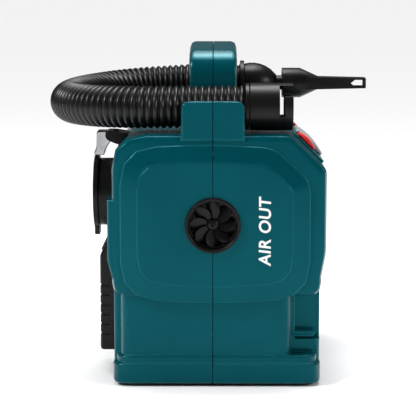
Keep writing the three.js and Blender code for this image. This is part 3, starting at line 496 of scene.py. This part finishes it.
portSet = {
    "wall": 3.8 * mm, "lipDeep": 3 * mm, "lipOverhang": 1.8 * mm, "lipRound": 1.3 * mm,
    "vanes": 8, "tilt": 24, "petalWide": 15.5 * mm, "petalThick": 1.1 * mm, "petalCamber": 2.2 * mm,
    "narrowest": 0.34, "bulgeFrom": 0.12, "bulgeOver": 0.8,  # how a petal's width swells on its way out
    "hubRadius": 6.5 * mm, "hubRise": 2.4 * mm, "rimThick": 1.6 * mm, "screwHole": 2 * mm,
}


def makePortRing():
    # the ring round the port, with a rolled front lip
    look = portSet
    low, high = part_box("port_ring")
    x, y, z = middleOf("port_ring")
    front, back = low[1], high[1]
    rim = (high[0] - low[0]) / 2
    bore = rim - look["wall"]
    barrel = rim - look["lipOverhang"]
    behindLip = front + look["lipDeep"]
    profile = [
        (bore, front + 1.6 * mm),
        (bore + 0.5 * mm, front + 0.5 * mm),
        (bore + 1.5 * mm, front),
        (rim - 1.2 * mm, front),
        (rim - 0.3 * mm, front + 0.5 * mm),
        (rim, front + look["lipRound"]),
        (rim, behindLip),
        (barrel, behindLip),
        (barrel, back),
        (bore, back),
    ]
    ring = turnProfile([(radius, far - y) for radius, far in profile], (x, y, z))
    finishPiece(ring, "portRing", "black_plastic", "housing", 40)
    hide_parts("port_ring")


def makeVanes():
    # curved petals between a hub and a rim, with the hub's screw left showing
    look = portSet
    low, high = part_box("guide_vanes")
    x, y, z = middleOf("guide_vanes")
    reach = (high[0] - low[0]) / 2
    petals = []
    for i in range(look["vanes"]):
        bpy.ops.object.select_all(action="DESELECT")
        bpy.ops.mesh.primitive_grid_add(x_subdivisions=8, y_subdivisions=8, size=1)
        petal = bpy.context.object
        for v in petal.data.vertices:
            out, side = v.co.x + 0.5, v.co.y
            radius = look["hubRadius"] + out * (reach - look["rimThick"] / 2 - look["hubRadius"])
            bulge = sin(pi * min(1, look["bulgeFrom"] + look["bulgeOver"] * out))
            wide = look["petalWide"] * (look["narrowest"] + (1 - look["narrowest"]) * bulge)
            camber = look["petalCamber"] * (1 - 4 * side * side) * out
            v.co = Vector((radius, side * wide, side * wide * sin(radians(look["tilt"])) - camber))
        skin = petal.modifiers.new("thick", "SOLIDIFY")
        skin.thickness = look["petalThick"]
        useModifiers(petal)
        around = 2 * pi * i / look["vanes"]
        petal.data.transform(Matrix.Rotation(around, 4, "Z"))
        petals.append(petal)
    vanes = joinPieces(petals)
    face = Matrix(((1, 0, 0, x), (0, 0, 1, y), (0, 1, 0, z), (0, 0, 0, 1)))
    vanes.data.transform(face)
    only(vanes)
    bpy.ops.object.mode_set(mode="EDIT")
    bpy.ops.mesh.select_all(action="SELECT")
    bpy.ops.mesh.normals_make_consistent(inside=False)
    bpy.ops.object.mode_set(mode="OBJECT")
    hub = look["hubRadius"]
    nose = low[1] - y
    tail = high[1] - y
    shoulder = nose + look["hubRise"]
    hole = look["screwHole"]
    boss = turnProfile([
        (hole, nose + 0.3 * mm),
        (hole + 0.4 * mm, nose),
        (hub * 0.7, nose + 0.4 * mm),
        (hub, shoulder),
        (hub + 0.6 * mm, tail),
        (hole, tail),
    ], (x, y, z), 48)
    inner = reach - look["rimThick"]
    rim = turnProfile([
        (inner, shoulder + 0.6 * mm),
        (inner + 0.4 * mm, shoulder),
        (reach, shoulder),
        (reach, tail),
        (inner, tail),
    ], (x, y, z))
    vanes = joinPieces([vanes, boss, rim])
    finishPiece(vanes, "petalVanes", "black_plastic", "housing", 40)
    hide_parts("guide_vanes")


makePortRing()
makeVanes()
print("blower port made")

ridgeSet = {"count": 4, "pitch": 4 * mm, "radius": 0.8 * mm, "round": 0.4 * mm, "long": 15 * mm,
            "above": 2.3 * mm}


def makeRidges():
    # thumb ridges across the power slider, stepped along the way it slides
    look = ridgeSet
    middle = Vector(middleOf("power_switch"))
    joints = frame["record"]["behaviour"]["joints"]
    joint = next(j for j in joints if j["name"] == "power_switch_slide")
    down = Vector(joint["axis"]).normalized()
    out = Vector((0, 1, 0)).cross(down).normalized()
    out = out if out.z > 0 else -out
    bars = []
    for i in range(look["count"]):
        along = (i - (look["count"] - 1) / 2) * look["pitch"]
        bpy.ops.object.select_all(action="DESELECT")
        bpy.ops.mesh.primitive_cylinder_add(vertices=24, radius=look["radius"], depth=look["long"],
                                            location=middle + down * along + out * look["above"],
                                            rotation=(pi / 2, 0, 0))
        bar = bpy.context.object
        settle(bar)
        softEdges(bar, look["round"], 60, 3)
        bars.append(bar)
    ridges = joinPieces(bars)
    finishPiece(ridges, "sliderRidges", "red_plastic", "power_switch", 40)


makeRidges()
print("slider ridged")

labelSet = {
    "words": "AIR OUT", "long": 76 * mm, "high": 13.2 * mm, "thick": 0.25 * mm, "sunk": 0.05 * mm,
    "fromSeam": 56 * mm, "middleHigh": 172.5 * mm, "weight": 0.022, "slant": 0.12, "spacing": 1.08,
}


inkSet = {"dark": (0.74, 0.76, 0.76), "light": (0.86, 0.87, 0.87), "rough": 0.5, "speckScale": 1500}


def printInk():
    look = inkSet
    ink = bpy.data.materials.new("whiteInk")
    ink.use_nodes = True
    tree = ink.node_tree
    shader = tree.nodes["Principled BSDF"]
    shader.inputs["Roughness"].default_value = look["rough"]
    place = tree.nodes.new("ShaderNodeTexCoord")
    speck = tree.nodes.new("ShaderNodeTexNoise")
    speck.inputs["Scale"].default_value = look["speckScale"]
    shades = tree.nodes.new("ShaderNodeValToRGB")
    shades.color_ramp.elements[0].color = (*look["dark"], 1)
    shades.color_ramp.elements[1].color = (*look["light"], 1)
    linkNodes(tree, [
        (place.outputs["Object"], speck.inputs["Vector"]),
        (speck.outputs["Fac"], shades.inputs["Fac"]),
        (shades.outputs["Color"], shader.inputs["Base Color"]),
    ])
    return ink


def makeLabel():
    # plain printed words that read upwards on the blower face
    look = labelSet
    bpy.ops.object.select_all(action="DESELECT")
    bpy.ops.object.text_add(location=(0, 0, 0))
    words = bpy.context.object
    words.data.body = look["words"]
    words.data.align_x = "CENTER"
    words.data.align_y = "CENTER"
    words.data.offset = look["weight"]
    words.data.shear = look["slant"]
    words.data.space_character = look["spacing"]
    words.data.extrude = 0.1
    bpy.ops.object.convert(target="MESH")
    words = bpy.context.object
    low = Vector([min(v.co[k] for v in words.data.vertices) for k in range(3)])
    high = Vector([max(v.co[k] for v in words.data.vertices) for k in range(3)])
    words.data.transform(Matrix.Translation(-(low + high) / 2))
    size = high - low
    grow = (look["long"] / size.x, look["high"] / size.y, look["thick"] / size.z, 1)
    words.data.transform(Matrix.Diagonal(grow))
    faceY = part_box("shell_left")[0][1]
    upTheFace = Matrix((
        (0, -1, 0, seamX + look["fromSeam"]),
        (0, 0, -1, faceY - look["thick"] / 2 + look["sunk"]),
        (1, 0, 0, look["middleHigh"]),
        (0, 0, 0, 1),
    ))
    words.data.transform(upTheFace)
    words.name = "faceWords"
    words.data.materials.clear()
    words.data.materials.append(printInk())
    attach(words, "housing")


makeLabel()
print("words printed")

# Skins of the solids that show, and how far each one's edges are rounded, in millimetres.
edgeRounds = {
    "shell_left": 0.5, "shell_right": 0.5, "bin_door": 0.6, "dust_bin": 0.5, "bin_handle": 0.8,
    "inlet_cap": 0.5, "inlet_block": 0.4, "cap_clasp": 0.3, "clasp_bracket": 0.5,
    "battery_case": 0, "battery_button": 0,
    "control_panel": 0.6, "power_switch": 0.5, "mode_button": 0.4, "button_bezel": 0.3,
    "cuff_collar": 0.6, "hose_cuff": 0.4, "end_collar": 0.6, "end_dome": 0.3, "crevice_tool": 0.3,
    "foot_1": 0.6, "foot_2": 0.6, "foot_3": 0.6, "foot_4": 0.6,
}
skins = {node: refined(node, edge * mm) for node, edge in edgeRounds.items()}
print("skins smoothed")
